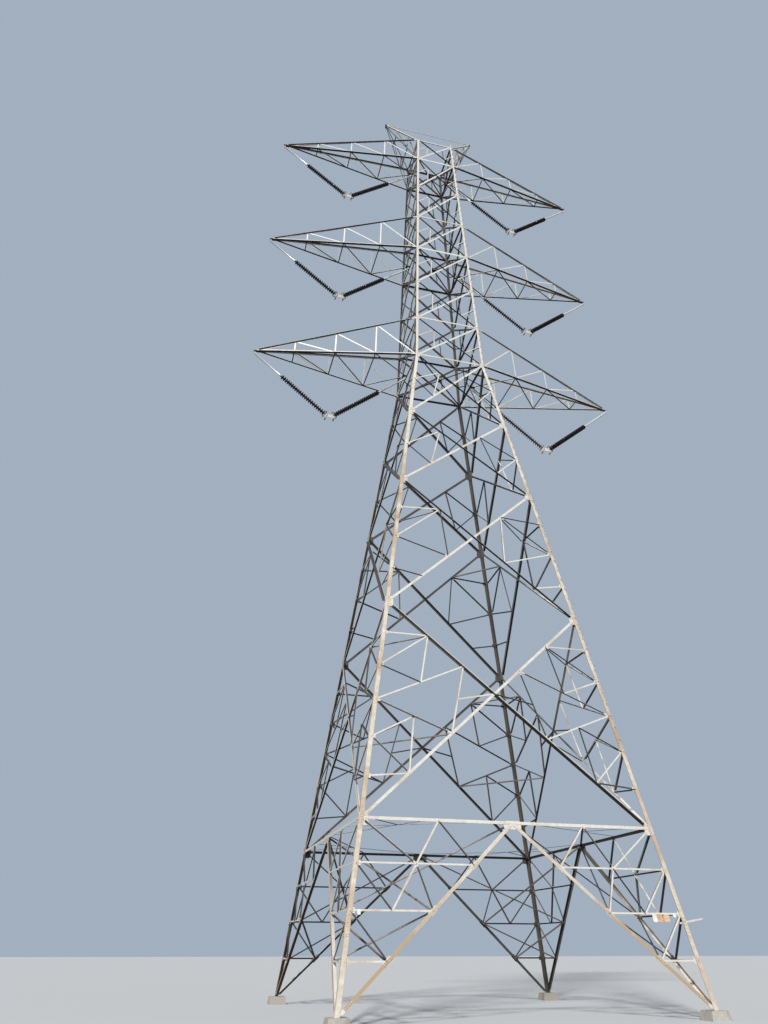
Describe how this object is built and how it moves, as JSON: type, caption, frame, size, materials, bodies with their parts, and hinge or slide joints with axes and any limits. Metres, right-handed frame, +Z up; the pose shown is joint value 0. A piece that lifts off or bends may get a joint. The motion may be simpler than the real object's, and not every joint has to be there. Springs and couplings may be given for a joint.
{
  "type": "lattice transmission pylon, 1:2 scale model",
  "caption": "Square lattice steel tower with crossarms, V-shaped insulator sets and earth-wire horns, on concrete caps; scale model at 1:2.",
  "frame": {"origin": "on the ground, under the middle of the tower", "axes": "+Z up, +X along the crossarms to the right, +Y along the line, away from the camera"},
  "size_m": [10.82, 6.9, 27.0709],
  "materials": {
    "galvanised_steel": "weathered galvanised steel with rust stain",
    "line_fittings": "dull galvanised fittings",
    "porcelain": "dark brown glaze",
    "concrete": "weathered concrete"
  },
  "bodies": {
    "pylon": {"leg_near_left": "galvanised_steel", "leg_near_right": "galvanised_steel", "leg_far_left": "galvanised_steel", "leg_far_right": "galvanised_steel", "footing_caps": "concrete", "base_bracing_near": "galvanised_steel", "lower_bracing_near": "galvanised_steel", "middle_bracing_near": "galvanised_steel", "cage_bracing_near": "galvanised_steel", "base_bracing_right": "galvanised_steel", "lower_bracing_right": "galvanised_steel", "middle_bracing_right": "galvanised_steel", "cage_bracing_right": "galvanised_steel", "base_bracing_far": "galvanised_steel", "lower_bracing_far": "galvanised_steel", "middle_bracing_far": "galvanised_steel", "cage_bracing_far": "galvanised_steel", "base_bracing_left": "galvanised_steel", "lower_bracing_left": "galvanised_steel", "middle_bracing_left": "galvanised_steel", "cage_bracing_left": "galvanised_steel", "belt_frame": "galvanised_steel", "cross_frame_low": "galvanised_steel", "cross_frame_middle": "galvanised_steel", "cross_frame_high": "galvanised_steel", "crossarm_low_right": "galvanised_steel", "crossarm_low_left": "galvanised_steel", "crossarm_middle_right": "galvanised_steel", "crossarm_middle_left": "galvanised_steel", "crossarm_high_right": "galvanised_steel", "crossarm_high_left": "galvanised_steel", "earth_wire_horns": "galvanised_steel"},
    "insulator_set_low_right": {"insulator_strings_low_right": "porcelain", "insulator_fittings_low_right": "line_fittings"},
    "insulator_set_low_left": {"insulator_strings_low_left": "porcelain", "insulator_fittings_low_left": "line_fittings"},
    "insulator_set_middle_right": {"insulator_strings_middle_right": "porcelain", "insulator_fittings_middle_right": "line_fittings"},
    "insulator_set_middle_left": {"insulator_strings_middle_left": "porcelain", "insulator_fittings_middle_left": "line_fittings"},
    "insulator_set_high_right": {"insulator_strings_high_right": "porcelain", "insulator_fittings_high_right": "line_fittings"},
    "insulator_set_high_left": {"insulator_strings_high_left": "porcelain", "insulator_fittings_high_left": "line_fittings"}
  },
  "joints": [
    {"name": "swing_low_right", "type": "hinge", "parent": "pylon", "child": "insulator_set_low_right", "pos_m": [3.21, 0, 15.49], "axis": [1, 0, 0], "range_deg": [-30, 30]},
    {"name": "swing_low_left", "type": "hinge", "parent": "pylon", "child": "insulator_set_low_left", "pos_m": [-3.21, 0, 15.49], "axis": [1, 0, 0], "range_deg": [-30, 30]},
    {"name": "swing_middle_right", "type": "hinge", "parent": "pylon", "child": "insulator_set_middle_right", "pos_m": [3.06336, 0, 19.985], "axis": [1, 0, 0], "range_deg": [-30, 30]},
    {"name": "swing_middle_left", "type": "hinge", "parent": "pylon", "child": "insulator_set_middle_left", "pos_m": [-3.06336, 0, 19.985], "axis": [1, 0, 0], "range_deg": [-30, 30]},
    {"name": "swing_high_right", "type": "hinge", "parent": "pylon", "child": "insulator_set_high_right", "pos_m": [2.90531, 0, 24.555], "axis": [1, 0, 0], "range_deg": [-30, 30]},
    {"name": "swing_high_left", "type": "hinge", "parent": "pylon", "child": "insulator_set_high_left", "pos_m": [-2.90531, 0, 24.555], "axis": [1, 0, 0], "range_deg": [-30, 30]}
  ]
}
